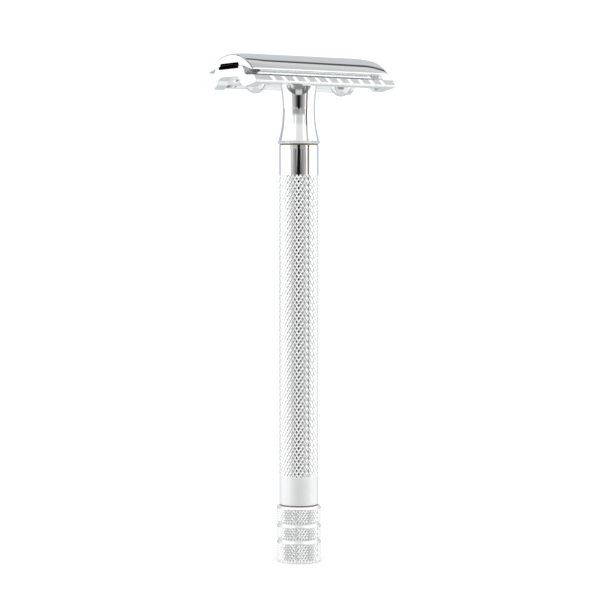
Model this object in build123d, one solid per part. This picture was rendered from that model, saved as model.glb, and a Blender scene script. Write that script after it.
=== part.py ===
from build123d import *
import math
import os

# Double-edge safety razor with a closed straight-bar head and a long twist-knob handle.
# Millimetres, +Z up. The origin is on the handle's axis at the knob's flat end, the head's
# length runs along X, and the two cutting edges face -Y and +Y.

# ---- driving dimensions ---------------------------------------------------------------

# Clearances, all radial or face to face
FIXED_GAP = 0.02            # between pieces that are pressed, swaged or riveted together
RUNNING_GAP = 0.05          # between a turning or sliding piece and its bearing
BLADE_GAP = 0.03            # between the blade and the plates that clamp it

# Levels along the handle's axis
KNOB_TOP = 14.75
TUBE_BOTTOM = 15.0
TUBE_TOP = 108.75
PLATE_CEILING = 125.35      # underside of the base plate's middle
PLATE_POCKET = 127.45       # floor of the groove along the base plate's top
CAP_UNDERSIDE = 128.51      # crest of the cap's underside curve
CAP_POCKET = 128.95         # roof of the groove along the cap's underside
OVERALL_HEIGHT = 131.55

# Head
CAP_LENGTH = 42.3
CAP_HALF_WIDTH = 10.5
CAP_UNDERSIDE_RADIUS = 34.0
CAP_LIP = 0.4               # height of the blunt edge along each side of the cap
CAP_END_ROUND = 0.35
CAP_SKIN = 0.8              # metal left over the stud's end
PLATE_LENGTH = 42.8
POCKET_HALF_WIDTH = 4.2
POCKET_POINT = 4.6          # half width at the groove's pointed sides
BED_HALF_WIDTH = 6.45
BED_LIP_HALF_WIDTH = 7.6    # the bed is this wide between its slanted ends
BED_LIP_LENGTHS = (37.2, 32.0)  # at the foot and at the top of those ends
FOOT_LENGTH = 3.1           # each corner foot, measured along the head

# Corners of the base plate's section, as (across, level)
BED_FOOT = (7.6, 125.9)     # where the bed's side runs out into the guard's top
GUARD_ROOT = (8.2, 125.62)
GUARD_CREST = (11.9, 125.4) # the slanting front face starts here
GUARD_TIP = (13.1, 123.95)  # and ends here, the outermost point of the head
GUARD_CHIN = (12.85, 123.5)
GUARD_HEEL = (11.0, 123.2)
FOOT_TIP = (7.25, 122.55)
GUARD_INNER = (10.5, 124.2) # the bay under the bed runs from here
BAY_STEP = (7.0, 124.3)     # over this step
BAY_WALL = 6.2              # to its steep wall
ARCH = [(5.5, 123.6), (5.1, 124.7), (3.9, PLATE_CEILING)]   # under each end rib

# Rounding of those corners
ROOT_ROUND = 0.6
EDGE_ROUND = 0.3
SMALL_ROUND = 0.25
ARCH_ROUND = 0.8

# Blade
BLADE_LENGTH = 42.7
BLADE_WIDTH = 22.0
BLADE_THICKNESS = 0.1
BLADE_EDGE_LENGTH = 37.4
BLADE_TAB_WIDTH = 12.6
BLADE_SLOT_WIDTH = 1.6
BLADE_HOLE_GAP = 0.15       # between the blade's holes and the pins and collar in them

# Comb marks across the guard bars
MARK_COUNT = 11
MARK_PITCH = 3.36
MARK_OFFSET = 0.7           # the row sits off centre by this much
MARK_DEPTH = 0.4
MARK_HALF_WIDTHS = (0.4, 0.55)  # from a mark's floor to its two edges
MARK_LEAN = 17.0            # degrees

# Guide pins and their sockets
GUIDE_SPACING = 26.6
GUIDE_PIN_RADIUS = 1.6
GUIDE_PIN_NOSE = 1.0        # rounding of each pin's lower end
GUIDE_BOSS_RADIUS = 2.7
GUIDE_BOSS_BOTTOM = 121.5
GUIDE_BOSS_FLOOR = 1.3      # metal left under each socket

# Screw thread between cap stud and spindle socket
THREAD_PITCH = 0.8
THREAD_CORE_RADIUS = 2.05
THREAD_CREST_RADIUS = 2.45
THREAD_GAP = 0.07
STUD_BOTTOM = 114.2
STUD_COLLAR_RADIUS = 3.0
STUD_COLLAR_LIFT = 0.55     # from the base plate's groove floor to the collar

# Handle
NECK_FLANGE_RADIUS = 5.66
NECK_FLANGE_CONE = 0.4      # height of the cone under the flange's sharp edge
NECK_SHOULDER = (5.3, 109.6)    # (radius, level) where the trumpet starts
NECK_TRUMPET = [(4.68, 112.2), (4.3, 114.8), (4.17, 117.8), (4.45, 122.0)]
NECK_TOP_RADIUS = 4.95
TUBE_RADIUS = 5.1
TUBE_BORE = 3.6
TUBE_CHAMFER = 0.15
TUBE_RELIEF_HEIGHT = 0.3    # the stepped-down ring under the neck's flange
SPIGOT_RADIUS = 3.95
SPIGOT_BOTTOM = 102.0
SOCKET_RADIUS = 3.3
SOCKET_BOTTOM = 93.7
SOCKET_TOP = 121.8
SPINDLE_RADIUS = 1.9
SPINDLE_BOTTOM = 2.2
SPINDLE_TOP = 107.3
SPINDLE_FLAT = 1.45         # distance of the drive flat from the axis
DRIVE_FLAT_TOP = 11.75
SOCKET_PIN_LEVEL = 97.7
FERRULE_RIM_RADIUS = 4.05
FERRULE_RIM = 0.3           # height of the swaged rim
BUSH_LENGTH = 5.6
WASHER_RADIUS = 5.0
SOCKET_PIN_RADIUS = 0.6

# Knob
KNOB_RADIUS = 5.81
KNOB_END_ROUND = 0.6
KNOB_SHOULDER = 0.55        # height of the sloping shoulder under the tube
KNOB_GROOVES = (5.9, 10.1)  # levels of the two V grooves
KNOB_GROOVE_DEPTH = 0.55
KNOB_GROOVE_HALF_WIDTH = 0.68
KNOB_SCREW_RADIUS = 1.25
KNOB_SCREW_LENGTH = 7.5
KNOB_SCREW_HEAD_RADIUS = 2.2
KNOB_SCREW_HEAD_HEIGHT = 1.2
KNOB_SCREW_SLOT = 0.6
KNOB_RECESS_RADIUS = 2.4
KNOB_RECESS_DEPTH = 1.5

# ---- worked-out values ----------------------------------------------------------------

BLADE_RADIUS = CAP_UNDERSIDE_RADIUS - BLADE_GAP
BED_RADIUS = BLADE_RADIUS - BLADE_THICKNESS - BLADE_GAP
CURVE_CENTRE = CAP_UNDERSIDE - CAP_UNDERSIDE_RADIUS
GUARD_HALF_WIDTH = GUARD_TIP[0]
GUIDE_PIN_TOP = OVERALL_HEIGHT - 1.07
GUIDE_PIN_BOTTOM = GUIDE_BOSS_BOTTOM + 2.0
HEAD_MIDDLE = Pos(0, 0, PLATE_CEILING)
NECK_BORE = SOCKET_RADIUS + RUNNING_GAP


# ---- helpers --------------------------------------------------------------------------

def curve_level(half_width, radius):
    """Level of a curve of this radius about the blade's centre of curvature."""
    return CURVE_CENTRE + math.sqrt(radius ** 2 - half_width ** 2)


def rod(radius, bottom, top):
    """A plain round bar along the handle's axis."""
    return Pos(0, 0, bottom) * Cylinder(radius, top - bottom, align=(Align.CENTER, Align.CENTER, Align.MIN))


def sleeve(outer, inner, bottom, top):
    """A plain tube along the handle's axis."""
    return rod(outer, bottom, top) - rod(inner, bottom - 1, top + 1)


def turned(outline):
    """Turn a closed (radius, level) outline about the handle's axis."""
    return revolve(Plane.XZ * make_face(outline), Axis.Z)


def along_head(section, length):
    """Run an (across, level) section along the head, centred on the handle."""
    face = section if isinstance(section, (Face, Sketch)) else make_face(section)
    return extrude(Plane.YZ * face, amount=length / 2, both=True)


def mirrored_outline(points):
    """Close a half outline, listed from the middle outwards and back, with its mirror image."""
    other_side = [(-across, level) for across, level in reversed(points)]
    return Polyline(*points, *other_side, close=True)


def rounded_corner(section, corner, radius):
    """Round one corner of a head section, and its mirror image."""
    across, level = corner
    for side in (-1, 1):
        place = (side * across, level)
        nearest = section.vertices().sort_by(lambda vertex: math.dist((vertex.X, vertex.Y), place))[0]
        section = fillet(nearest, radius)
    return section


def both_guides(shape):
    """The same shape at each guide pin."""
    return [Pos(side * GUIDE_SPACING / 2, 0, 0) * shape for side in (-1, 1)]


def thread_ridge(bottom, length, growth):
    """One helical ridge, grown on all sides by the given amount."""
    root = THREAD_CORE_RADIUS - 0.05
    crest = THREAD_CREST_RADIUS + growth
    half_root = 0.3 + growth
    half_crest = 0.08 + growth
    path = Helix(THREAD_PITCH, length, root)
    tooth = Polyline(
        (0, -half_root),
        (crest - root, -half_crest),
        (crest - root, half_crest),
        (0, half_root),
        close=True,
    )
    section = Plane(path @ 0, x_dir=(1, 0, 0), z_dir=path % 0) * make_face(tooth)
    return Pos(0, 0, bottom) * sweep(section, path, is_frenet=True)


# ---- head -----------------------------------------------------------------------------

def cap():
    lip_bottom = curve_level(CAP_HALF_WIDTH, CAP_UNDERSIDE_RADIUS)
    lip_top = lip_bottom + CAP_LIP
    point_level = curve_level(POCKET_POINT, CAP_UNDERSIDE_RADIUS)
    mid_across = (POCKET_POINT + CAP_HALF_WIDTH) / 2
    mid_level = curve_level(mid_across, CAP_UNDERSIDE_RADIUS)
    section = [
        ThreePointArc((-CAP_HALF_WIDTH, lip_top), (0, OVERALL_HEIGHT), (CAP_HALF_WIDTH, lip_top)),
        Polyline(
            (-POCKET_POINT, point_level),
            (-POCKET_HALF_WIDTH, CAP_POCKET),
            (POCKET_HALF_WIDTH, CAP_POCKET),
            (POCKET_POINT, point_level),
        ),
    ]
    for side in (-1, 1):
        lip = side * CAP_HALF_WIDTH
        under_middle = (side * mid_across, mid_level)
        under_end = (side * POCKET_POINT, point_level)
        section.append(Line((lip, lip_top), (lip, lip_bottom)))
        section.append(ThreePointArc((lip, lip_bottom), under_middle, under_end))
    body = along_head(section, CAP_LENGTH)
    crown_edges = body.edges().filter_by(GeomType.CIRCLE).filter_by(lambda edge: edge.center().Z > CAP_POCKET)
    body = fillet(crown_edges, CAP_END_ROUND)
    body -= rod(THREAD_CREST_RADIUS + FIXED_GAP, CAP_POCKET - 1, OVERALL_HEIGHT - CAP_SKIN)
    for hole in both_guides(rod(GUIDE_PIN_RADIUS + FIXED_GAP, CAP_POCKET - 1, GUIDE_PIN_TOP + FIXED_GAP)):
        body -= hole
    return body


def cap_stud():
    """Plain shank and collar fixed in the cap, with one threaded length under them."""
    shank_bottom = SOCKET_TOP + 0.1
    collar_height = CAP_POCKET - PLATE_POCKET - STUD_COLLAR_LIFT
    core = rod(THREAD_CORE_RADIUS, STUD_BOTTOM, shank_bottom)
    core = chamfer(core.edges().sort_by(Axis.Z)[0], 0.3)
    shank = rod(THREAD_CREST_RADIUS, shank_bottom, OVERALL_HEIGHT - CAP_SKIN - FIXED_GAP)
    collar = rod(STUD_COLLAR_RADIUS, CAP_POCKET - collar_height, CAP_POCKET - FIXED_GAP)
    ridge = thread_ridge(STUD_BOTTOM + THREAD_PITCH, SOCKET_TOP - STUD_BOTTOM - 1.5 * THREAD_PITCH, 0)
    return core + shank + collar + ridge


def cap_guide_pins():
    pin = rod(GUIDE_PIN_RADIUS, GUIDE_PIN_BOTTOM, GUIDE_PIN_TOP)
    pin = fillet(pin.edges().sort_by(Axis.Z)[0], GUIDE_PIN_NOSE)
    return Compound(both_guides(pin))


def blade():
    """A thin sheet bent over the bed, pierced for the stud's collar and the guide pins."""
    half_angle = BLADE_WIDTH / 2 / BLADE_RADIUS
    across = BLADE_RADIUS * math.sin(half_angle)
    outer = Pos(0, CURVE_CENTRE) * Circle(BLADE_RADIUS)
    inner = Pos(0, CURVE_CENTRE) * Circle(BLADE_RADIUS - BLADE_THICKNESS)
    window = Pos(0, CAP_UNDERSIDE) * Rectangle(2 * across, CAP_UNDERSIDE_RADIUS)
    sheet = extrude(Plane.YZ * ((outer - inner) & window), amount=BLADE_LENGTH / 2, both=True)
    edge_part = Rectangle(BLADE_EDGE_LENGTH, 2 * across)
    tab_part = Rectangle(BLADE_LENGTH, BLADE_TAB_WIDTH)
    outline = edge_part + tab_part - Rectangle(GUIDE_SPACING, BLADE_SLOT_WIDTH)
    outline -= Circle(STUD_COLLAR_RADIUS + BLADE_HOLE_GAP)
    for hole in both_guides(Circle(GUIDE_PIN_RADIUS + BLADE_HOLE_GAP)):
        outline -= hole
    return sheet & extrude(HEAD_MIDDLE * outline, amount=OVERALL_HEIGHT - PLATE_CEILING)


def plate_section(underside):
    """The base plate's section with this underside, listed from the guard's chin to the middle."""
    top = [
        (POCKET_HALF_WIDTH, PLATE_POCKET),
        (POCKET_POINT, curve_level(POCKET_POINT, BED_RADIUS)),
        (BED_HALF_WIDTH, curve_level(BED_HALF_WIDTH, BED_RADIUS)),
        BED_FOOT,
        GUARD_ROOT,
        GUARD_CREST,
        GUARD_TIP,
        GUARD_CHIN,
    ]
    section = make_face(mirrored_outline(top + underside))
    section = rounded_corner(section, GUARD_ROOT, ROOT_ROUND)
    section = rounded_corner(section, GUARD_CREST, EDGE_ROUND)
    section = rounded_corner(section, GUARD_TIP, SMALL_ROUND)
    return rounded_corner(section, GUARD_CHIN, EDGE_ROUND)


def plate_bar():
    """The base plate with its guard bars but without the corner feet."""
    section = plate_section([GUARD_HEEL, GUARD_INNER, BAY_STEP, (BAY_WALL, PLATE_CEILING)])
    return along_head(rounded_corner(section, GUARD_HEEL, SMALL_ROUND), PLATE_LENGTH)


def plate_feet():
    """The full-depth rib at each end of the base plate, arched between its two feet."""
    section = rounded_corner(plate_section([FOOT_TIP] + ARCH), FOOT_TIP, SMALL_ROUND)
    rib = along_head(rounded_corner(section, ARCH[-1], ARCH_ROUND), PLATE_LENGTH)
    middle = Box(PLATE_LENGTH - 2 * FOOT_LENGTH, 3 * GUARD_HALF_WIDTH, 3 * GUARD_HALF_WIDTH)
    return rib - HEAD_MIDDLE * middle


def bed_lip():
    """The slightly wider middle part of the blade bed, with slanted ends."""
    bottom = BED_FOOT[1] - 0.4
    top = curve_level(BED_LIP_HALF_WIDTH, BED_RADIUS)
    foot_end, top_end = [length / 2 for length in BED_LIP_LENGTHS]
    side = Polyline((-foot_end, bottom), (foot_end, bottom), (top_end, top), (-top_end, top), close=True)
    block = extrude(Plane.XZ * make_face(side), amount=BED_LIP_HALF_WIDTH, both=True)
    return block - HEAD_MIDDLE * Box(PLATE_LENGTH, 2 * BED_HALF_WIDTH - 0.4, 3 * PLATE_LENGTH)


def guard_marks():
    """The slanting V grooves across both guard bars."""
    run = GUARD_TIP[0] - GUARD_CREST[0]
    fall = GUARD_CREST[1] - GUARD_TIP[1]
    face_tilt = math.degrees(math.atan2(run, fall))
    face_middle = Pos(0, -(GUARD_CREST[0] + GUARD_TIP[0]) / 2, (GUARD_CREST[1] + GUARD_TIP[1]) / 2)
    near_edge, far_edge = MARK_HALF_WIDTHS
    vee = Polyline((-2 * near_edge, MARK_DEPTH), (0, -MARK_DEPTH), (2 * far_edge, MARK_DEPTH), close=True)
    groove = Rot(90, 0, 0) * extrude(make_face(vee), amount=3 * run, both=True)
    cutters = []
    for index in range(MARK_COUNT):
        along = (index - (MARK_COUNT - 1) / 2) * MARK_PITCH + MARK_OFFSET
        front = Pos(along, 0, 0) * face_middle * Rot(90 - face_tilt, 0, 0) * Rot(0, 0, MARK_LEAN) * groove
        cutters.append(front)
        cutters.append(Rot(0, 0, 180) * front)
    return cutters


def base_plate():
    body = plate_bar() + plate_feet() + bed_lip()
    dome_centre = GUIDE_BOSS_BOTTOM + GUIDE_BOSS_RADIUS
    boss = rod(GUIDE_BOSS_RADIUS, dome_centre, PLATE_POCKET)
    boss += Pos(0, 0, dome_centre) * Sphere(GUIDE_BOSS_RADIUS)
    for piece in both_guides(boss):
        body += piece
    socket = rod(GUIDE_PIN_RADIUS + RUNNING_GAP, GUIDE_BOSS_BOTTOM + GUIDE_BOSS_FLOOR, CAP_POCKET)
    for hole in both_guides(socket):
        body -= hole
    body -= rod(SOCKET_RADIUS + FIXED_GAP, PLATE_CEILING - 1, CAP_POCKET)
    for cutter in guard_marks():
        body -= cutter
    return body


# ---- handle ---------------------------------------------------------------------------

def neck():
    flange_bottom = TUBE_TOP + FIXED_GAP
    top = PLATE_CEILING - FIXED_GAP
    bore = Line((NECK_BORE, top), (NECK_BORE, SPIGOT_BOTTOM))
    lower = Polyline(
        (NECK_BORE, SPIGOT_BOTTOM),
        (SPIGOT_RADIUS, SPIGOT_BOTTOM),
        (SPIGOT_RADIUS, flange_bottom),
        (TUBE_RADIUS, flange_bottom),
        (NECK_FLANGE_RADIUS, flange_bottom + NECK_FLANGE_CONE),
        NECK_SHOULDER,
    )
    trumpet = Spline(NECK_SHOULDER, *NECK_TRUMPET, (NECK_TOP_RADIUS, top))
    rim = Line((NECK_TOP_RADIUS, top), (NECK_BORE, top))
    return turned([bore, lower, trumpet, rim])


def neck_ferrule():
    """Hollow rivet, swaged out over the base plate's groove floor."""
    bore = THREAD_CREST_RADIUS + 0.2
    top = PLATE_POCKET + FERRULE_RIM
    rim = sleeve(FERRULE_RIM_RADIUS, bore, PLATE_POCKET + FIXED_GAP, top)
    return rim + sleeve(SOCKET_RADIUS, bore, SOCKET_TOP + 0.5, top)


def handle_tube():
    body = rod(TUBE_RADIUS, TUBE_BOTTOM, TUBE_TOP)
    body = chamfer(body.edges().filter_by(GeomType.CIRCLE).sort_by(Axis.Z)[0], TUBE_CHAMFER)
    body -= sleeve(TUBE_RADIUS + 1, TUBE_RADIUS - TUBE_CHAMFER, TUBE_TOP - TUBE_RELIEF_HEIGHT, TUBE_TOP)
    body -= rod(TUBE_BORE, TUBE_BOTTOM - 1, TUBE_TOP + 1)
    return body - rod(SPIGOT_RADIUS + FIXED_GAP, SPIGOT_BOTTOM - FIXED_GAP, TUBE_TOP + 1)


def bush(bottom):
    return sleeve(TUBE_BORE - FIXED_GAP, SPINDLE_RADIUS + RUNNING_GAP, bottom, bottom + BUSH_LENGTH)


def thrust_washer():
    bore = SPINDLE_RADIUS + RUNNING_GAP
    return sleeve(WASHER_RADIUS, bore, KNOB_TOP + RUNNING_GAP, TUBE_BOTTOM - RUNNING_GAP)


# ---- turning parts --------------------------------------------------------------------

def socket_pin_bar(radius):
    length = 2 * (SOCKET_RADIUS - RUNNING_GAP)
    return Pos(0, 0, SOCKET_PIN_LEVEL) * Rot(0, 90, 0) * Cylinder(radius, length)


def drive_flat(gap):
    """What is cut from one side of the spindle's lower end, from its tip to the flat's shoulder."""
    size = 2 * SPINDLE_RADIUS
    height = 2 * (DRIVE_FLAT_TOP - SPINDLE_BOTTOM)
    cutter = Box(size, size, height, align=(Align.MIN, Align.CENTER, Align.CENTER))
    return Pos(SPINDLE_FLAT + gap, 0, SPINDLE_BOTTOM) * cutter


def spindle():
    body = rod(SPINDLE_RADIUS, SPINDLE_BOTTOM, SPINDLE_TOP) - drive_flat(0)
    hole_top = KNOB_RECESS_DEPTH + KNOB_SCREW_LENGTH + 0.5
    body -= rod(KNOB_SCREW_RADIUS + FIXED_GAP, SPINDLE_BOTTOM - 1, hole_top)
    return body - socket_pin_bar(SOCKET_PIN_RADIUS + FIXED_GAP)


def spindle_socket():
    """Joins the spindle to the cap's stud: bored for the spindle below and tapped for the stud above."""
    thread_bottom = STUD_BOTTOM - 2 * THREAD_PITCH
    body = rod(SOCKET_RADIUS, SOCKET_BOTTOM, SOCKET_TOP)
    body = chamfer(body.edges().filter_by(GeomType.CIRCLE), 0.2)
    tap = rod(THREAD_CORE_RADIUS + THREAD_GAP, thread_bottom, SOCKET_TOP + 3)
    tap += thread_ridge(STUD_BOTTOM, SOCKET_TOP - STUD_BOTTOM + THREAD_PITCH, THREAD_GAP)
    body -= tap
    body -= rod(SPINDLE_RADIUS + FIXED_GAP, SOCKET_BOTTOM - 1, SPINDLE_TOP + FIXED_GAP)
    return body - socket_pin_bar(SOCKET_PIN_RADIUS + FIXED_GAP)


def knob():
    outline = [(0, 0), (KNOB_RADIUS, 0)]
    for level in KNOB_GROOVES:
        outline.append((KNOB_RADIUS, level - KNOB_GROOVE_HALF_WIDTH))
        outline.append((KNOB_RADIUS - KNOB_GROOVE_DEPTH, level))
        outline.append((KNOB_RADIUS, level + KNOB_GROOVE_HALF_WIDTH))
    outline += [(KNOB_RADIUS, KNOB_TOP - KNOB_SHOULDER), (TUBE_RADIUS, KNOB_TOP), (0, KNOB_TOP)]
    body = turned(Polyline(*outline, close=True))
    body = fillet(body.edges().filter_by(GeomType.CIRCLE).sort_by(Axis.Z)[0], KNOB_END_ROUND)
    spindle_hole = rod(SPINDLE_RADIUS + FIXED_GAP, SPINDLE_BOTTOM - FIXED_GAP, KNOB_TOP + 1)
    body -= spindle_hole - drive_flat(FIXED_GAP)
    body -= rod(KNOB_SCREW_RADIUS + RUNNING_GAP, 0, SPINDLE_BOTTOM)
    return body - rod(KNOB_RECESS_RADIUS, -1, KNOB_RECESS_DEPTH)


def knob_screw():
    head_top = KNOB_RECESS_DEPTH - FIXED_GAP
    head_bottom = head_top - KNOB_SCREW_HEAD_HEIGHT
    head = rod(KNOB_SCREW_HEAD_RADIUS, head_bottom, head_top)
    head = fillet(head.edges().sort_by(Axis.Z)[0], KNOB_SCREW_HEAD_HEIGHT / 3)
    slot = Pos(0, 0, head_bottom) * Box(3 * KNOB_SCREW_HEAD_RADIUS, KNOB_SCREW_SLOT, KNOB_SCREW_HEAD_HEIGHT)
    shank = rod(KNOB_SCREW_RADIUS, head_top, head_top + KNOB_SCREW_LENGTH)
    shank = chamfer(shank.edges().sort_by(Axis.Z)[-1], KNOB_SCREW_RADIUS / 3)
    return head + shank - slot


# ---- output ---------------------------------------------------------------------------

PIECES = {
    "cap": cap(),
    "cap_stud": cap_stud(),
    "cap_guide_pins": cap_guide_pins(),
    "blade": blade(),
    "base_plate": base_plate(),
    "neck": neck(),
    "neck_ferrule": neck_ferrule(),
    "handle_tube": handle_tube(),
    "upper_bush": bush(SOCKET_BOTTOM - 0.1 - BUSH_LENGTH),
    "lower_bush": bush(TUBE_BOTTOM + 0.2),
    "thrust_washer": thrust_washer(),
    "spindle": spindle(),
    "spindle_socket": spindle_socket(),
    "socket_pin": socket_pin_bar(SOCKET_PIN_RADIUS),
    "knob": knob(),
    "knob_screw": knob_screw(),
}

os.makedirs("parts", exist_ok=True)
for name, piece in PIECES.items():
    export_step(piece, f"parts/{name}.step")
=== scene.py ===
"""Looks for a chromed double-edge safety razor: knurled handle and knob, crowned cap, studio light."""
import math

import bpy
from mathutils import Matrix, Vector


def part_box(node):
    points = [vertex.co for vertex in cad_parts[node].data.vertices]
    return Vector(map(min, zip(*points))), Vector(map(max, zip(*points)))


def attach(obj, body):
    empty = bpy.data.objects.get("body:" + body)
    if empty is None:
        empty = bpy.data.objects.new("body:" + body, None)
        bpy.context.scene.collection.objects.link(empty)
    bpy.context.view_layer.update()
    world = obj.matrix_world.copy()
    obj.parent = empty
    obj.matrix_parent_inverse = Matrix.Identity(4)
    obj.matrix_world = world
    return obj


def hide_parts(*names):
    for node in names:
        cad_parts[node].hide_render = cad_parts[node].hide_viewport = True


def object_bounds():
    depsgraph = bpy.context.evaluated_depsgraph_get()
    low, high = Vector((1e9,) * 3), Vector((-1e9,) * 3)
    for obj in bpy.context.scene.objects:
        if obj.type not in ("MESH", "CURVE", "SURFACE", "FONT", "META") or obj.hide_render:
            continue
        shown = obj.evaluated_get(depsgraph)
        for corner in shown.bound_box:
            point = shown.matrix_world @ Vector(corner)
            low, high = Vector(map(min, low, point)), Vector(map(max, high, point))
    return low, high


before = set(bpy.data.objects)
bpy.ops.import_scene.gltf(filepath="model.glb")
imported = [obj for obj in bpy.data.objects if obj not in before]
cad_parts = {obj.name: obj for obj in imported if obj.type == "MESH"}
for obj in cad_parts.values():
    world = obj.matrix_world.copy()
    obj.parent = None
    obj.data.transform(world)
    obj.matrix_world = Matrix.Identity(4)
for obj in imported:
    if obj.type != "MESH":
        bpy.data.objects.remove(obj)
CAD_LOW, CAD_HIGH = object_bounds()
MM = 0.001

# ---- camera and light, as angles about the razor ---------------------------------------

CAMERA_AZIMUTH = math.radians(-33.675)
CAMERA_ELEVATION = math.radians(2.582)
CAMERA_DISTANCE = 0.52405
CAMERA_TARGET_SHARE = 0.5192      # height of the aimed point, as a share of the razor's
CAMERA_LENS = 120.68
CAMERA_SHIFT = 0.0019
WHITE = 1.25                      # brightness of the soft boxes that the chrome mirrors
PLAIN_LIGHT = 1.12                # brightness of the white all round for everything else

# ---- knurling --------------------------------------------------------------------------

FLAT_CROWN = 0.06                 # how far the corners of a diamond's flat top sink, of the depth
TUBE_DIAMONDS = 29
TUBE_DIAMOND_HALF_ROWS = 93
TUBE_KNURL_BOTTOM = 22.5 * MM
TUBE_KNURL_TOP = 100.76 * MM
TUBE_KNURL_DEPTH = 0.1 * MM
TUBE_FLAT_SHARE = 0.56            # flat on top of each diamond, as a share of the diamond
KNOB_DIAMONDS = 42
KNOB_DIAMOND_HALF_HEIGHT = 0.65 * MM
KNOB_KNURL_DEPTH = 0.16 * MM
KNOB_FLAT_SHARE = 0.42
CREST_GAP = 0.01 * MM             # how far the knurls' crests lie inside the plain cylinder

# ---- colours ---------------------------------------------------------------------------

CHROME = (0.93, 0.935, 0.94)
# The worn tone, also used as the painted shade at the knurl's groove bottoms.
CHROME_WORN_AND_SHADE = (0.60, 0.595, 0.585)
SHADE_BLACK = (0.012, 0.012, 0.013)      # black painted in the closed slot through the head, as its shade


# ---- node helpers ----------------------------------------------------------------------

class Tree:
    """A thin wrapper that adds nodes and links them by input name."""

    def __init__(self, tree):
        self.tree = tree
        self.tree.nodes.clear()

    def add(self, kind, settings=None, **inputs):
        node = self.tree.nodes.new(kind)
        for key, value in (settings or {}).items():
            setattr(node, key, value)
        for key, value in inputs.items():
            self.plug(node, key, value)
        return node

    def plug(self, node, key, value):
        index = int(key[1:]) if key[0] == "i" and key[1:].isdigit() else key.replace("_", " ")
        socket = node.inputs[index]
        if isinstance(value, bpy.types.NodeSocket):
            self.tree.links.new(value, socket)
        else:
            socket.default_value = value

    def math(self, operation, *values):
        node = self.add("ShaderNodeMath", {"operation": operation})
        for index, value in enumerate(values):
            self.plug(node, f"i{index}", value)
        return node.outputs[0]

    def dot(self, vector, fixed):
        node = self.add("ShaderNodeVectorMath", {"operation": "DOT_PRODUCT"}, i0=vector, i1=tuple(fixed))
        return node.outputs["Value"]

    def ramp(self, factor, stops):
        """A colour ramp; stops are (position, colour or grey level)."""
        node = self.add("ShaderNodeValToRGB", None, Fac=factor)
        band = node.color_ramp
        while len(band.elements) < len(stops):
            band.elements.new(0.5)
        for element, (position, colour) in zip(band.elements, stops):
            element.position = position
            level = (colour,) * 3 if isinstance(colour, (int, float)) else colour
            element.color = (*level, 1)
        return node.outputs["Color"]

    def noise(self, vector, scale, detail=4.0, roughness=0.55):
        node = self.add(
            "ShaderNodeTexNoise", None, Vector=vector, Scale=scale, Detail=detail, Roughness=roughness,
        )
        return node.outputs["Fac"]

    def stretched(self, vector, scale):
        node = self.add("ShaderNodeMapping", None, Vector=vector, Scale=scale)
        return node.outputs["Vector"]

    def mix(self, factor, low, high):
        node = self.add("ShaderNodeMix", {"data_type": "RGBA"})
        self.plug(node, "i0", factor)
        for index, value in ((6, low), (7, high)):
            colour = value if isinstance(value, bpy.types.NodeSocket) else (*value, 1)
            self.plug(node, f"i{index}", colour)
        return node.outputs[2]


def metal(
    name, colour, worn_and_shade_colour, roughness, grain, grain_height=0, edge_round=0, painted_shade_part=None, matte=0,
):
    """A bare or plated metal.

    Its grain is noise stretched by the three numbers of grain, and roughness is the range the
    grain varies over. The bottoms of grooves pressed into a mesh are darkened towards the worn
    colour: a little dirt, and painted shade of the knurl's pits. edge_round softens hard edges by
    that radius. The dark part is a function of (tree, place) that gives where shade is painted:
    there the colour goes to black and the metal turns rougher. Matte is the share of the light
    that the finish scatters instead of mirroring.
    """
    material = bpy.data.materials.new(name)
    material.use_nodes = True
    tree = Tree(material.node_tree)
    place = tree.add("ShaderNodeTexCoord").outputs["Object"]
    clouds = tree.noise(place, 90.0, 3.0)
    streaks = tree.noise(tree.stretched(place, grain), 1.0, 5.0, 0.65)
    groove = tree.add("ShaderNodeAttribute", {"attribute_name": "groove"}).outputs["Fac"]
    # Groove bottoms darken towards the worn colour: a little dirt and painted shade of the pits.
    pit_dirt_and_shade = tree.ramp(groove, [(0.0, 0.0), (0.5, 0.04), (1.0, 0.5)])
    tint = tree.mix(tree.math("MULTIPLY", clouds, 0.12), colour, worn_and_shade_colour)
    tint = tree.mix(pit_dirt_and_shade, tint, worn_and_shade_colour)
    low, high = roughness
    rough = tree.math("ADD", tree.math("MULTIPLY", streaks, high - low), low)
    # Painted shade: inside the mask the colour is mixed to black.
    if painted_shade_part:
        dark = painted_shade_part(tree, place)
        tint = tree.mix(dark, tint, SHADE_BLACK)
        rough = tree.math("ADD", rough, tree.math("MULTIPLY", dark, 0.4))
    shader = tree.add(
        "ShaderNodeBsdfPrincipled", None, Base_Color=tint, Metallic=1 - matte, Roughness=rough,
    )
    normal = None
    if edge_round:
        normal = tree.add("ShaderNodeBevel", {"samples": 8}, Radius=edge_round).outputs["Normal"]
        tree.plug(shader, "Normal", normal)
    if grain_height:
        bump = tree.add("ShaderNodeBump", None, Height=streaks, Strength=0.35, Distance=grain_height)
        if normal:
            tree.plug(bump, "Normal", normal)
        tree.plug(shader, "Normal", bump.outputs["Normal"])
    output = tree.add("ShaderNodeOutputMaterial", None, Surface=shader.outputs[0])
    output.is_active_output = True
    return material


def between(tree, value, low, high, soft):
    """1 where value lies between low and high, falling to 0 over the distance soft."""
    above = tree.add("ShaderNodeMapRange", None, Value=value, From_Min=low - soft, From_Max=low)
    below = tree.add("ShaderNodeMapRange", None, Value=value, From_Min=high + soft, From_Max=high)
    return tree.math("MULTIPLY", above.outputs[0], below.outputs[0])


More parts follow.
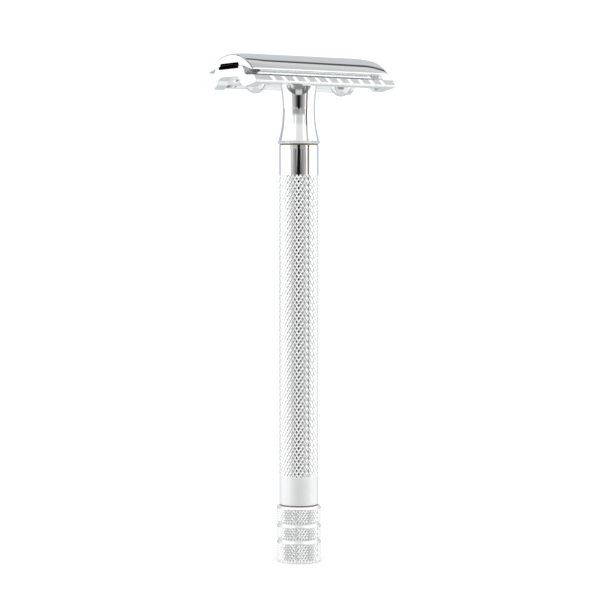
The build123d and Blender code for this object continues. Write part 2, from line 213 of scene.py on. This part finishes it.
def head_slot_shade(tree, place):
    """Where shade is painted black: the groove along the head's middle, closed in by cap and base plate.
    """
    half_width = 4.75 * MM
    floor = 127.4 * MM
    roof = 129.1 * MM
    soft = 0.05 * MM
    parts = tree.add("ShaderNodeSeparateXYZ", None, Vector=place)
    across = between(tree, parts.outputs["Y"], -half_width, half_width, soft)
    height = between(tree, parts.outputs["Z"], floor, roof, soft)
    return tree.math("MULTIPLY", across, height)


def blade_middle_shade(tree, place):
    """Where shade is painted on the blade: its middle, between its two bright sides, inside the head's
    slot.
    """
    half_width = 4.7 * MM
    soft = 0.1 * MM
    parts = tree.add("ShaderNodeSeparateXYZ", None, Vector=place)
    return between(tree, parts.outputs["Y"], -half_width, half_width, soft)


def make_materials():
    """Every finish on the razor, by name."""
    around = (900.0, 900.0, 26000.0)      # grain round the handle
    along = (900.0, 26000.0, 900.0)       # grain along the head
    even = (700.0, 700.0, 700.0)
    coarse = 0.02 * MM                    # heights of the grain
    fine = 0.01 * MM
    edge = 0.28 * MM
    return {
        "polished": metal("polished_chrome", CHROME, CHROME_WORN_AND_SHADE, (0.01, 0.035), even),
        # The base plate's closed slot through the head gets painted black shade.
        "plate": metal(
            "plate_chrome", CHROME, CHROME_WORN_AND_SHADE, (0.01, 0.045), even,
            edge_round=edge, painted_shade_part=head_slot_shade, matte=0.06,
        ),
        "neck": metal(
            "neck_chrome", CHROME, CHROME_WORN_AND_SHADE, (0.01, 0.035), around, edge_round=0.5 * edge,
        ),
        "knurled": metal("knurled_chrome", CHROME, CHROME_WORN_AND_SHADE, (0.04, 0.09), around),
        "rims": metal("knob_rim_chrome", CHROME, CHROME_WORN_AND_SHADE, (0.08, 0.16), around, matte=0.36),
        "satin": metal(
            "satin_chrome", (0.88, 0.885, 0.89), CHROME_WORN_AND_SHADE, (0.42, 0.55), around, coarse, matte=0.35,
        ),
        "under": metal(
            "unpolished_chrome", (0.8, 0.81, 0.82), CHROME_WORN_AND_SHADE, (0.16, 0.3), along, fine, matte=0.5,
        ),
        # The cap's slot: black painted as shade, on a rough finish.
        "shaded_slot": metal("shaded_slot_black", SHADE_BLACK, (0.02, 0.02, 0.02), (0.4, 0.55), along, coarse),
        # A brown strip on the tube's top edge, where it meets the neck, and the thrust washer.
        "joint": metal(
            "brown_joint_line", (0.33, 0.25, 0.18), (0.16, 0.12, 0.09), (0.3, 0.5), around, coarse,
        ),
        "brass": metal(
            "turned_brass", (0.72, 0.52, 0.26), (0.4, 0.28, 0.14), (0.18, 0.34), around, coarse,
        ),
        "plated": metal(
            "plated_thread", (0.86, 0.855, 0.83), (0.6, 0.57, 0.5), (0.08, 0.2), around, fine,
        ),
        # The blade's middle, inside the slot, gets painted black shade.
        "blade": metal(
            "blade_steel_with_shade", (0.78, 0.81, 0.84), (0.42, 0.44, 0.47), (0.14, 0.26), along, fine,
            painted_shade_part=blade_middle_shade, matte=0.5,
        ),
        "steel": metal(
            "turned_steel", (0.58, 0.585, 0.59), (0.36, 0.36, 0.36), (0.2, 0.36), around, coarse,
        ),
    }


# ---- mesh helpers ----------------------------------------------------------------------

def new_piece(name, points, faces, materials, face_material=None, sharp_angle=35):
    """A mesh object from points in metres, smooth except at creases sharper than the angle."""
    mesh = bpy.data.meshes.new(name)
    mesh.from_pydata(points, [], faces)
    mesh.validate()
    for material in materials:
        mesh.materials.append(material)
    if face_material:
        mesh.polygons.foreach_set("material_index", face_material)
    mesh.update()
    mesh.shade_smooth()
    mesh.set_sharp_from_angle(angle=math.radians(sharp_angle))
    piece = bpy.data.objects.new(name, mesh)
    bpy.context.scene.collection.objects.link(piece)
    return piece


class Turning:
    """Builds a closed mesh turned about the handle's axis, ring by ring, with knurled bands.

    The rings have two points for each half diamond of the knurl. Each new ring or band is
    joined to the one before it by a strip with the finish given to it.
    """

    def __init__(self, diamonds, flat_share):
        self.halves = 2 * diamonds
        self.flat_share = flat_share
        self.points = []
        self.grooves = []
        self.faces = []
        self.finishes = []
        self.first = None
        self.last = None

    def point(self, around, radius, level, groove=0.0):
        """Add a point; around counts half diamonds."""
        angle = 2 * math.pi * around / self.halves
        self.points.append((radius * math.cos(angle), radius * math.sin(angle), level))
        self.grooves.append(groove)
        return len(self.points) - 1

    def face(self, finish, *corners):
        self.faces.append(corners)
        self.finishes.append(finish)

    def join(self, ring, finish):
        """Close the strip between the last ring and this one."""
        if self.last:
            count = len(ring)
            for index in range(count):
                after = (index + 1) % count
                self.face(finish, self.last[index], self.last[after], ring[after], ring[index])
        self.first = self.first or ring
        self.last = ring

    def ring(self, radius, level, finish):
        self.join([self.point(index / 2, radius, level) for index in range(2 * self.halves)], finish)

    def band(self, bottom, top, rows, radius_at, depth_at, finish, rim_finish):
        """Crossed grooves between two levels, that leave flat-topped diamonds.

        rows counts half diamonds upwards. radius_at and depth_at give the diamonds' outside
        radius and the grooves' depth at a level.
        """
        flat = self.flat_share

        def place(around, up, sunk):
            level = bottom + (top - bottom) * up / rows
            return self.point(around, radius_at(level) - depth_at(level) * sunk, level, sunk)

        knots, across, upward = {}, {}, {}
        for up in range(rows + 1):
            for around in range(self.halves):
                is_top = (around + up) % 2
                knots[around, up] = place(around, up, 0.0 if is_top else 1.0)
                across[around, up] = place(around + (flat if is_top else 1 - flat), up, FLAT_CROWN)
                if up < rows:
                    upward[around, up] = place(around, up + (flat if is_top else 1 - flat), FLAT_CROWN)

        def edge_row(up):
            ring = []
            for around in range(self.halves):
                ring += [knots[around, up], across[around, up]]
            return ring

        self.join(edge_row(0), rim_finish)
        for up in range(rows):
            for around in range(self.halves):
                after = (around + 1) % self.halves
                low_left, low_right = knots[around, up], knots[after, up]
                high_left, high_right = knots[around, up + 1], knots[after, up + 1]
                low, high = across[around, up], across[around, up + 1]
                left, right = upward[around, up], upward[after, up]
                if (around + up) % 2:
                    self.face(finish, low_left, low, left)
                    self.face(finish, high_right, high, right)
                    self.face(finish, low_right, right, high, high_left)
                    self.face(finish, low_right, high_left, left, low)
                else:
                    self.face(finish, low_right, right, low)
                    self.face(finish, high_left, left, high)
                    self.face(finish, low_left, low, right, high_right)
                    self.face(finish, low_left, high_right, high, left)
        self.last = edge_row(rows)

    def finished(self, name, materials, sharp_angle, closing_finish):
        """Close the last ring to the first and return the mesh object."""
        self.join(self.first, closing_finish)
        piece = new_piece(name, self.points, self.faces, materials, self.finishes, sharp_angle)
        groove = piece.data.attributes.new("groove", "FLOAT", "POINT")
        groove.data.foreach_set("value", self.grooves)
        return piece


# ---- handle tube -----------------------------------------------------------------------

def make_tube(finishes):
    """The knurled tube: satin foot, knurl, polished ring and the brown joint line at its top."""
    low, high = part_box("handle_tube")
    radius = high.x
    wall = 1.5 * MM
    bore = radius - wall
    spigot_wall = 1.13 * MM
    spigot_bore = radius - spigot_wall
    spigot_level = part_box("neck")[0].z - 0.02 * MM
    knurl_margin = 0.1 * MM
    edge = 0.15 * MM
    ring_end = 0.3 * MM           # the polished ring stops this far below the tube's top
    groove_start = 0.22 * MM      # and the brown joint line starts here
    satin, knurled, polished, joint = range(4)
    tube = Turning(TUBE_DIAMONDS, TUBE_FLAT_SHARE)
    tube.ring(bore, low.z, satin)
    tube.ring(radius - edge, low.z, satin)
    for index in (1, 2, 3):
        turn = index / 3 * math.pi / 2
        tube.ring(radius - edge * (1 - math.sin(turn)), low.z + edge * (1 - math.cos(turn)), satin)
    tube.ring(radius, TUBE_KNURL_BOTTOM - knurl_margin, satin)
    tube.band(
        TUBE_KNURL_BOTTOM, TUBE_KNURL_TOP, TUBE_DIAMOND_HALF_ROWS,
        lambda level: radius - CREST_GAP, lambda level: TUBE_KNURL_DEPTH, knurled, satin,
    )
    tube.ring(radius, TUBE_KNURL_TOP + knurl_margin, polished)
    tube.ring(radius, high.z - ring_end, polished)
    tube.ring(radius - edge, high.z - groove_start, joint)
    tube.ring(radius - edge, high.z, joint)
    tube.ring(spigot_bore, high.z, satin)
    tube.ring(spigot_bore, spigot_level, satin)
    tube.ring(bore, spigot_level, satin)
    names = [finishes[key] for key in ("satin", "knurled", "polished", "joint")]
    piece = tube.finished("knurled_handle_tube", names, 14, satin)
    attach(piece, "handle")
    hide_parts("handle_tube")


# ---- knob ------------------------------------------------------------------------------

def make_knob(finishes):
    """The knob: three knurled bands, a plain groove above each lower one, a recessed foot."""
    low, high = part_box("knob")
    radius = high.x
    neck_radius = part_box("handle_tube")[1].x
    shoulder = 0.55 * MM
    rim = 0.2 * MM
    groove_levels = [low.z + 5.9 * MM, low.z + 10.1 * MM]
    groove_depth = 0.55 * MM
    groove_half = 0.68 * MM
    end_round = 0.5 * MM
    recess_radius = 2.4 * MM
    recess_top = low.z + 1.5 * MM
    recess_chamfer = 0.15 * MM
    bore = 1.92 * MM
    knurled, smooth = range(2)

    def radius_at(level):
        """Outside radius: rounded at the bottom and pulled in above each groove's floor."""
        from_end = level - low.z
        if from_end < end_round:
            return radius - end_round + math.sqrt(end_round ** 2 - (end_round - from_end) ** 2)
        for groove in groove_levels:
            if 0 <= level - groove < groove_half:
                return radius - groove_depth * (1 - (level - groove) / groove_half)
        return radius - CREST_GAP

    def depth_at(level):
        """The knurl's depth, fading out over the rounded bottom edge."""
        return KNOB_KNURL_DEPTH * min(1.0, 0.35 + (level - low.z) / (2 * end_round))

    knob = Turning(KNOB_DIAMONDS, KNOB_FLAT_SHARE)
    knob.ring(bore, recess_top, smooth)
    knob.ring(recess_radius, recess_top, smooth)
    knob.ring(recess_radius, low.z + recess_chamfer, smooth)
    knob.ring(recess_radius + recess_chamfer, low.z, smooth)
    band_bottom = low.z + 0.3 * MM
    for level in (0.0, 0.03 * MM, 0.12 * MM, 0.22 * MM):
        knob.ring(radius_at(low.z + level), low.z + level, smooth)
    for band_top in [level - groove_half - rim for level in groove_levels] + [high.z - shoulder - rim]:
        rows = round((band_top - band_bottom) / KNOB_DIAMOND_HALF_HEIGHT)
        knob.band(band_bottom, band_top, rows, radius_at, depth_at, knurled, smooth)
        knob.ring(radius - 0.07 * MM, band_top + 0.03 * MM, smooth)
        knob.ring(radius - 0.03 * MM, band_top + rim, smooth)
        if band_top < high.z - 2 * shoulder:
            floor = band_top + rim + groove_half
            knob.ring(radius - groove_depth, floor - 0.03 * MM, smooth)
            knob.ring(radius - groove_depth, floor + 0.03 * MM, smooth)
            band_bottom = floor + 0.06 * MM
    knob.ring(radius - 0.36 * MM, high.z - 0.1 * MM, smooth)
    knob.ring(neck_radius - 0.02 * MM, high.z, smooth)
    knob.ring(bore, high.z, smooth)
    names = [finishes["knurled"], finishes["rims"]]
    piece = knob.finished("knurled_knob", names, 30, smooth)
    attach(piece, "knob")
    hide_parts("knob")


# ---- cap -------------------------------------------------------------------------------

def cap_drops(along, half_length):
    """How far the crown falls away towards each end of the cap, and how far its corner does."""
    crown_length = 6.0 * MM
    crown_drop = 0.4 * MM
    corner = 0.45 * MM
    from_end = half_length - abs(along)
    crown_share = max(0, 1 - from_end / crown_length)
    past_corner = max(0, corner - from_end)
    return crown_drop * crown_share ** 2.6, corner - math.sqrt(corner ** 2 - past_corner ** 2)


def cap_section(drops, low, high):
    """Points (across, level) round the cap's section, its top lowered by the two drops.

    Also returns the finish of the strip that starts at each point: 0 for the polished crown
    and lips, 1 for the plain bed that presses on the blade, 2 for the slot, painted black as its shade.
    """
    half_width = high.y
    lip = 0.4 * MM
    soft = 0.08 * MM
    bed_radius = 34.0 * MM
    bed_centre = low.z - math.sqrt(bed_radius ** 2 - half_width ** 2)
    rise = high.z - (low.z + lip)
    radius = (half_width ** 2 + rise ** 2) / (2 * rise)
    centre = high.z - radius
    spread = math.asin(half_width / radius)
    slot_roof = 4.2 * MM
    slot_foot = 4.6 * MM
    slot_depth = 0.44 * MM
    slot_level = bed_centre + bed_radius + slot_depth
    crown_steps = 96
    bed_steps = 10

    crown = []
    for index in range(crown_steps + 1):
        side = 1 - 2 * index / crown_steps
        middle = math.cos(side * math.pi / 2)
        lowered = radius - drops[0] * (0.2 + 0.8 * middle) - drops[1] * (0.6 + 0.4 * middle)
        crown.append((lowered * math.sin(spread * side), centre + lowered * math.cos(spread * side)))
    edge = crown[0][0]
    half = [(-edge, low.z + 0.12 * MM), (-edge + soft, low.z + 0.03 * MM)]
    for index in range(bed_steps + 1):
        across = edge - 2 * soft + (slot_foot - edge + 2 * soft) * index / bed_steps
        half.append((-across, bed_centre + math.sqrt(bed_radius ** 2 - across ** 2)))
    half.append((-slot_roof, slot_level))
    points = crown + half + [(-across, level) for across, level in reversed(half)]
    finishes = [0] * (crown_steps + 3) + [1] * bed_steps + [2] * 3 + [1] * bed_steps + [0] * 3
    return points, finishes


def make_cap(finishes):
    """The cap: its section swept along X, with stations crowding towards the shaped ends."""
    low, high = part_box("cap")
    half_length = high.x
    end_length = 6.4 * MM
    end_steps = 24
    places = []
    for index in range(end_steps + 1):
        places.append(half_length - end_length * (1 - index / end_steps) ** 2.6)
    stations = [-place for place in reversed(places)] + places
    points = []
    for along in stations:
        section, strip_finishes = cap_section(cap_drops(along, half_length), low, high)
        points += [(along, across, level) for across, level in section]
    size = len(strip_finishes)
    faces = []
    for station in range(len(stations) - 1):
        for index in range(size):
            after = (index + 1) % size
            here = station * size
            there = here + size
            faces.append((here + index, there + index, there + after, here + after))
    faces.append(tuple(reversed(range(size))))
    faces.append(tuple(range(len(points) - size, len(points))))
    face_finishes = strip_finishes * (len(stations) - 1) + [0, 0]
    names = [finishes[key] for key in ("polished", "under", "shaded_slot")]
    cap = new_piece("crowned_cap", points, faces, names, face_finishes, 40)
    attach(cap, "cap")
    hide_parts("cap")


# ---- finishes on the CAD pieces --------------------------------------------------------

NODE_FINISH = {
    "base_plate": "plate",
    "neck": "neck",
    "blade": "blade",
    "cap_stud": "plated",
    "cap_guide_pins": "plated",
    "neck_ferrule": "plated",
    "spindle_socket": "plated",
    "upper_bush": "brass",
    "lower_bush": "brass",
    "thrust_washer": "joint",
    "spindle": "steel",
    "socket_pin": "steel",
    "knob_screw": "steel",
}


def finish_nodes(finishes):
    """Give every CAD piece that stays its finish."""
    for node, finish in NODE_FINISH.items():
        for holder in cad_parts[node].material_slots:
            holder.material = finishes[finish]


# ---- stage -----------------------------------------------------------------------------

def camera_axes():
    """Unit vectors to the camera's right and from the razor back to the camera, both level."""
    right = Vector((math.cos(CAMERA_AZIMUTH), math.sin(CAMERA_AZIMUTH), 0))
    back = Vector((math.sin(CAMERA_AZIMUTH), -math.cos(CAMERA_AZIMUTH), 0))
    return right, back


BACKDROP = (0.60, 0.64, 0.67)     # the pale wall straight behind the razor
SIDE_WALL = (0.50, 0.54, 0.58)    # and the wall on either side of it
REAR_FLOOR = (0.60, 0.64, 0.68)   # the floor behind the razor
BROWN = (0.10, 0.075, 0.06)       # narrow dark stands at the studio's sides
PALE_BROWN = (0.24, 0.20, 0.17)   # and their lower, lighter ends
BLACK = 0.008                     # the camera and whoever holds it


def behind(wall, start, light=WHITE):
    """Stops for the right-hand and the left-hand end of a band: wall beyond start, light before it."""
    right = [(start - 6, light), (start, wall), (162, wall), (168, BACKDROP), (180, BACKDROP)]
    left = [(-angle, colour) for angle, colour in reversed(right)]
    return left, right


# The studio that the chrome mirrors, in bands from the floor up. Each band runs between two
# elevations in degrees and lists (degrees round from the camera, light), right positive.
# The bands fade into each other over the elevations left between them.
LEFT_WALL, RIGHT_WALL = behind(SIDE_WALL, 136)
LEFT_FLOOR, RIGHT_FLOOR = behind(REAR_FLOOR, 124, 0.95)
END_WALL = behind(SIDE_WALL, 123)[0]      # left-hand wall that also darkens the head's end edges
STUDIO = [
    (-90, -62, [(-180, 0.72), (180, 0.72)]),
    (-56, -42, [*LEFT_FLOOR, (-48, 0.95), (-30, 0.80), (30, 0.80), (48, 0.95), *RIGHT_FLOOR]),
    (-33, -12.2, [
        *LEFT_FLOOR, (-62, 0.95), (-60, BROWN), (-57, BROWN), (-55, 0.95), (-44, 0.90), (-34, 0.50),
        (-26, 0.26), (26, 0.26), (34, 0.50), (44, 0.90), *RIGHT_FLOOR,
    ]),
    (-10.8, -8.9, [
        *LEFT_WALL, (-94, WHITE), (-80, 0.38), (-50, 0.17), (-26, 0.14), (-18, 0.66), (18, 0.66),
        (26, 0.14), (50, 0.17), (80, 0.38), (94, WHITE), *RIGHT_WALL,
    ]),
    (-8.2, 0.8, [
        *LEFT_WALL, (-52, WHITE), (-46, 0.62), (-36, 0.48), (-24, 0.30), (-15, 0.09), (-8, 0.03),
        (-6.5, BLACK), (6, BLACK), (8, 0.08), (15, 0.17), (24, 0.30), (36, 0.48), (43, 0.55),
        (46, WHITE), (50, WHITE), (53, PALE_BROWN), (62, PALE_BROWN), (65.5, WHITE), *RIGHT_WALL,
    ]),
    (1.0, 1.9, [
        *LEFT_WALL, (-58, WHITE), (-54, 0.72), (-37, 0.76), (-34, 0.52), (-12, 0.48), (-8, 0.30),
        (-6.5, BLACK), (6, BLACK), (8, 0.26), (12, 0.39), (40, 0.41), (42, WHITE), (51, WHITE),
        (54, BROWN), (62, BROWN), (65, WHITE), *RIGHT_WALL,
    ]),
    (2.4, 6, [
        *END_WALL, (-50, WHITE), (-46, 0.50), (-24, 0.36), (0, 0.30), (8, 0.46), (30, 0.42), (43, 0.46),
        (45, WHITE), (50, WHITE), (52, BROWN), (61, BROWN), (63, WHITE), *RIGHT_WALL,
    ]),
    (9, 15, [
        *END_WALL, (-50, WHITE), (-40, 0.88), (-26, 0.85), (-24, WHITE), (-20, WHITE), (-17, 0.64),
        (26, 0.64), (29, WHITE), (33, WHITE), (35, 0.88), (50, 1.0), (52, BROWN), (60, BROWN),
        (62, WHITE), *RIGHT_WALL,
    ]),
    (20, 43, [
        (-180, BACKDROP), (-123, BACKDROP), (-117, WHITE), (-20, WHITE), (-18, 0.84), (24, 0.84),
        (28, WHITE), (46, WHITE), (50, 0.60), (60, 0.60), (64, WHITE), (125, WHITE), (133, BACKDROP),
        (180, BACKDROP),
    ]),
    (44.5, 47.5, [
        (-180, 0.09), (-125, 0.09), (-112, 0.70), (-102, WHITE), (102, WHITE), (112, 0.70),
        (125, 0.09), (180, 0.09),
    ]),
    (49, 50, [(-180, 0.74), (-105, 0.74), (-95, WHITE), (90, WHITE), (100, 0.74), (180, 0.74)]),
    (56, 62, [(-180, 0.58), (-105, 0.58), (-95, WHITE), (90, WHITE), (100, 0.60), (180, 0.58)]),
    (72, 90, [(-180, 0.22), (180, 0.22)]),
]


def make_world():
    """The studio, seen only by the chrome; plain white for everything else."""
    world = bpy.data.worlds.new("studio")
    bpy.context.scene.world = world
    world.use_nodes = True
    tree = Tree(world.node_tree)
    direction = tree.add("ShaderNodeTexCoord").outputs["Generated"]
    right, back = camera_axes()
    azimuth = tree.math("ARCTAN2", tree.dot(direction, right), tree.dot(direction, back))
    turn = tree.math("ADD", tree.math("DIVIDE", azimuth, 2 * math.pi), 0.5)
    elevation = tree.math("DEGREES", tree.math("ARCSINE", tree.dot(direction, (0, 0, 1))))

    colour = None
    below = None
    for bottom, top, stops in STUDIO:
        band = tree.ramp(turn, [((angle + 180) / 360, light) for angle, light in stops])
        if colour is None:
            colour = band
        else:
            reached = tree.add(
                "ShaderNodeMapRange", None, Value=elevation, From_Min=below, From_Max=bottom,
            )
            colour = tree.mix(reached.outputs[0], colour, band)
        below = top

    mirrored = tree.add("ShaderNodeBackground", None, Color=colour, Strength=1.0)
    plain = tree.add("ShaderNodeBackground", None, Color=(1, 1, 1, 1), Strength=PLAIN_LIGHT)
    is_mirrored = tree.add("ShaderNodeLightPath").outputs["Is Glossy Ray"]
    both = tree.add(
        "ShaderNodeMixShader", None, i0=is_mirrored, i1=plain.outputs[0], i2=mirrored.outputs[0],
    )
    tree.add("ShaderNodeOutputWorld", None, Surface=both.outputs[0])


def make_floor():
    """A pale round floor; the chrome mirrors the studio's own floor instead of this one."""
    radius = 4.0
    sides = 96
    points = [(0, 0, CAD_LOW.z)]
    for side in range(sides):
        angle = 2 * math.pi * side / sides
        points.append((radius * math.cos(angle), radius * math.sin(angle), CAD_LOW.z))
    faces = [(0, 1 + side, 1 + (side + 1) % sides) for side in range(sides)]
    material = bpy.data.materials.new("pale_floor")
    material.use_nodes = True
    tree = Tree(material.node_tree)
    place = tree.add("ShaderNodeTexCoord").outputs["Object"]
    tint = tree.mix(tree.noise(place, 6.0), (0.93, 0.93, 0.93), (0.95, 0.95, 0.95))
    shader = tree.add("ShaderNodeBsdfPrincipled", None, Base_Color=tint, Roughness=0.8)
    tree.add("ShaderNodeOutputMaterial", None, Surface=shader.outputs[0])
    floor = new_piece("pale_floor", points, faces, [material])
    floor.visible_glossy = False


def make_light():
    """One broad soft box overhead, for a faint shadow at the foot."""
    light = bpy.data.lights.new("soft_box", "AREA")
    light.shape = "DISK"
    light.size = 0.9
    light.energy = 3.0
    holder = bpy.data.objects.new("soft_box", light)
    holder.location = (-0.35, -0.4, 1.1)
    holder.rotation_mode = "QUATERNION"
    holder.rotation_quaternion = (-holder.location).to_track_quat("-Z", "Y")
    holder.visible_glossy = False
    bpy.context.scene.collection.objects.link(holder)


def make_camera():
    """The camera, placed by the angles and the distance given above."""
    data = bpy.data.cameras.new("camera")
    data.lens = CAMERA_LENS
    data.sensor_width = 36.0
    data.shift_x = CAMERA_SHIFT
    data.clip_start = 0.01
    data.clip_end = 20.0
    camera = bpy.data.objects.new("camera", data)
    back = Vector((
        math.sin(CAMERA_AZIMUTH) * math.cos(CAMERA_ELEVATION),
        -math.cos(CAMERA_AZIMUTH) * math.cos(CAMERA_ELEVATION),
        math.sin(CAMERA_ELEVATION),
    ))
    target = Vector((0, 0, CAD_LOW.z + CAMERA_TARGET_SHARE * (CAD_HIGH.z - CAD_LOW.z)))
    camera.location = target + back * CAMERA_DISTANCE
    camera.rotation_mode = "QUATERNION"
    camera.rotation_quaternion = back.to_track_quat("Z", "Y")
    bpy.context.scene.collection.objects.link(camera)
    bpy.context.scene.camera = camera


# ---- build -----------------------------------------------------------------------------

bpy.context.scene.view_settings.view_transform = "Standard"
materials = make_materials()
finish_nodes(materials)
make_tube(materials)
make_knob(materials)
make_cap(materials)
make_world()
make_floor()
make_light()
make_camera()
